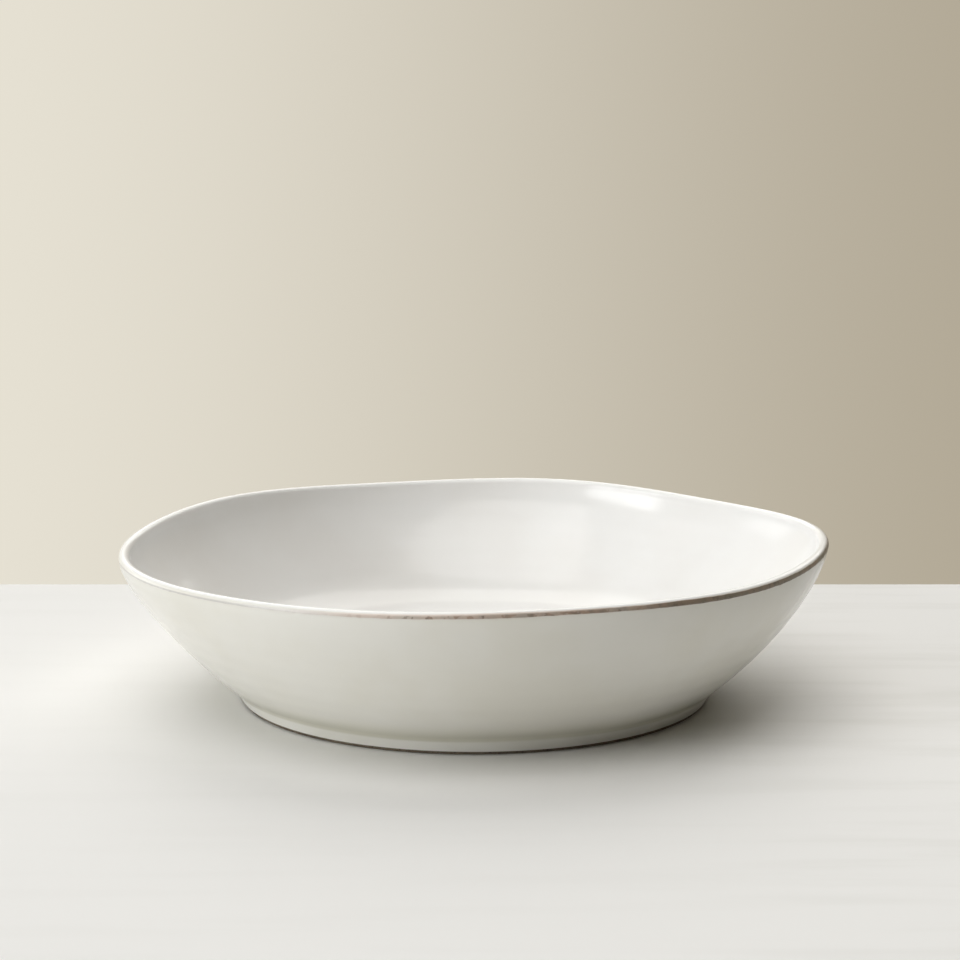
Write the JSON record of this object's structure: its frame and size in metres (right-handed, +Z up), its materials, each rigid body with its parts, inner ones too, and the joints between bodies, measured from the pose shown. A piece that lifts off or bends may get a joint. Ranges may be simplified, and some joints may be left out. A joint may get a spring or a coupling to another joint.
{
  "type": "low bowl",
  "caption": "Low, wide stoneware bowl with a hand-shaped wavy rim, white glaze, a thin brown lip edge and a turned foot ring.",
  "frame": {"origin": "centre of the foot ring, on the surface that the bowl stands on", "axes": "+Z up, +X along the longest width of the rim and to the picture's right, -Y towards the picture's camera"},
  "size_m": [0.242, 0.2363, 0.0559],
  "materials": {
    "white_glaze": "glossy warm white glaze",
    "brown_edge": "thin satin brown glaze break",
    "stoneware": "matt bare fired clay"
  },
  "bodies": {
    "root": {"clay_body": "stoneware", "foot_ring": "stoneware", "base_glaze": "white_glaze", "outer_glaze": "white_glaze", "inner_glaze": "white_glaze", "lip_band": "brown_edge"}
  },
  "joints": []
}
